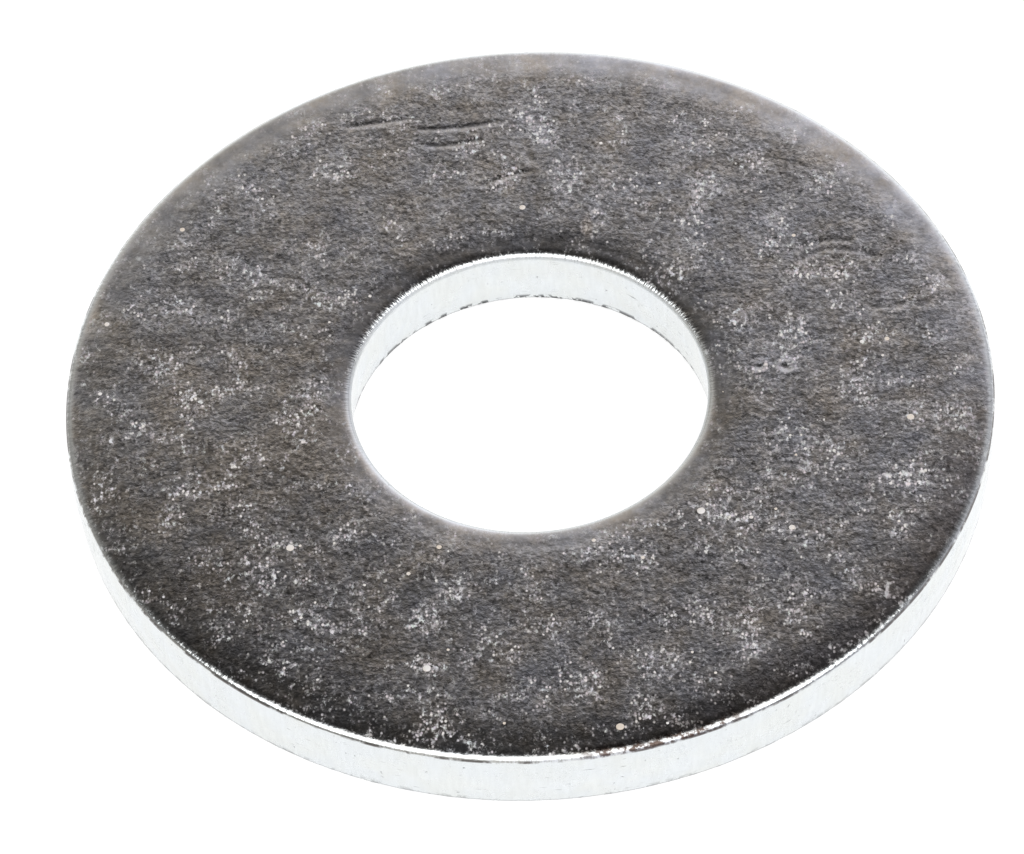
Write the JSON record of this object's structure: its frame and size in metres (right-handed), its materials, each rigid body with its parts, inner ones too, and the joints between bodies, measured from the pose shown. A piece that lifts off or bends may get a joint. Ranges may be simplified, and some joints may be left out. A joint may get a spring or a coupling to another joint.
{
  "type": "flat washer",
  "caption": "Large-diameter flat washer: a plain plated steel ring with one central bolt hole, blanked with a rolled-over upper edge and a straight side wall.",
  "frame": {"origin": "centre of the bore on the flat underside, the face that seats on the work", "axes": "+Z along the bore axis, from the underside to the upper face with the rolled-over edges; X and Y are equivalent because the ring is round"},
  "size_m": [0.0238, 0.0238, 0.0019],
  "materials": {
    "zinc_plated_steel": "bright zinc electroplate over blanked, tumbled strip; faint orange peel, pale plating spots"
  },
  "bodies": {
    "root": {"washer": "zinc_plated_steel"}
  },
  "joints": []
}
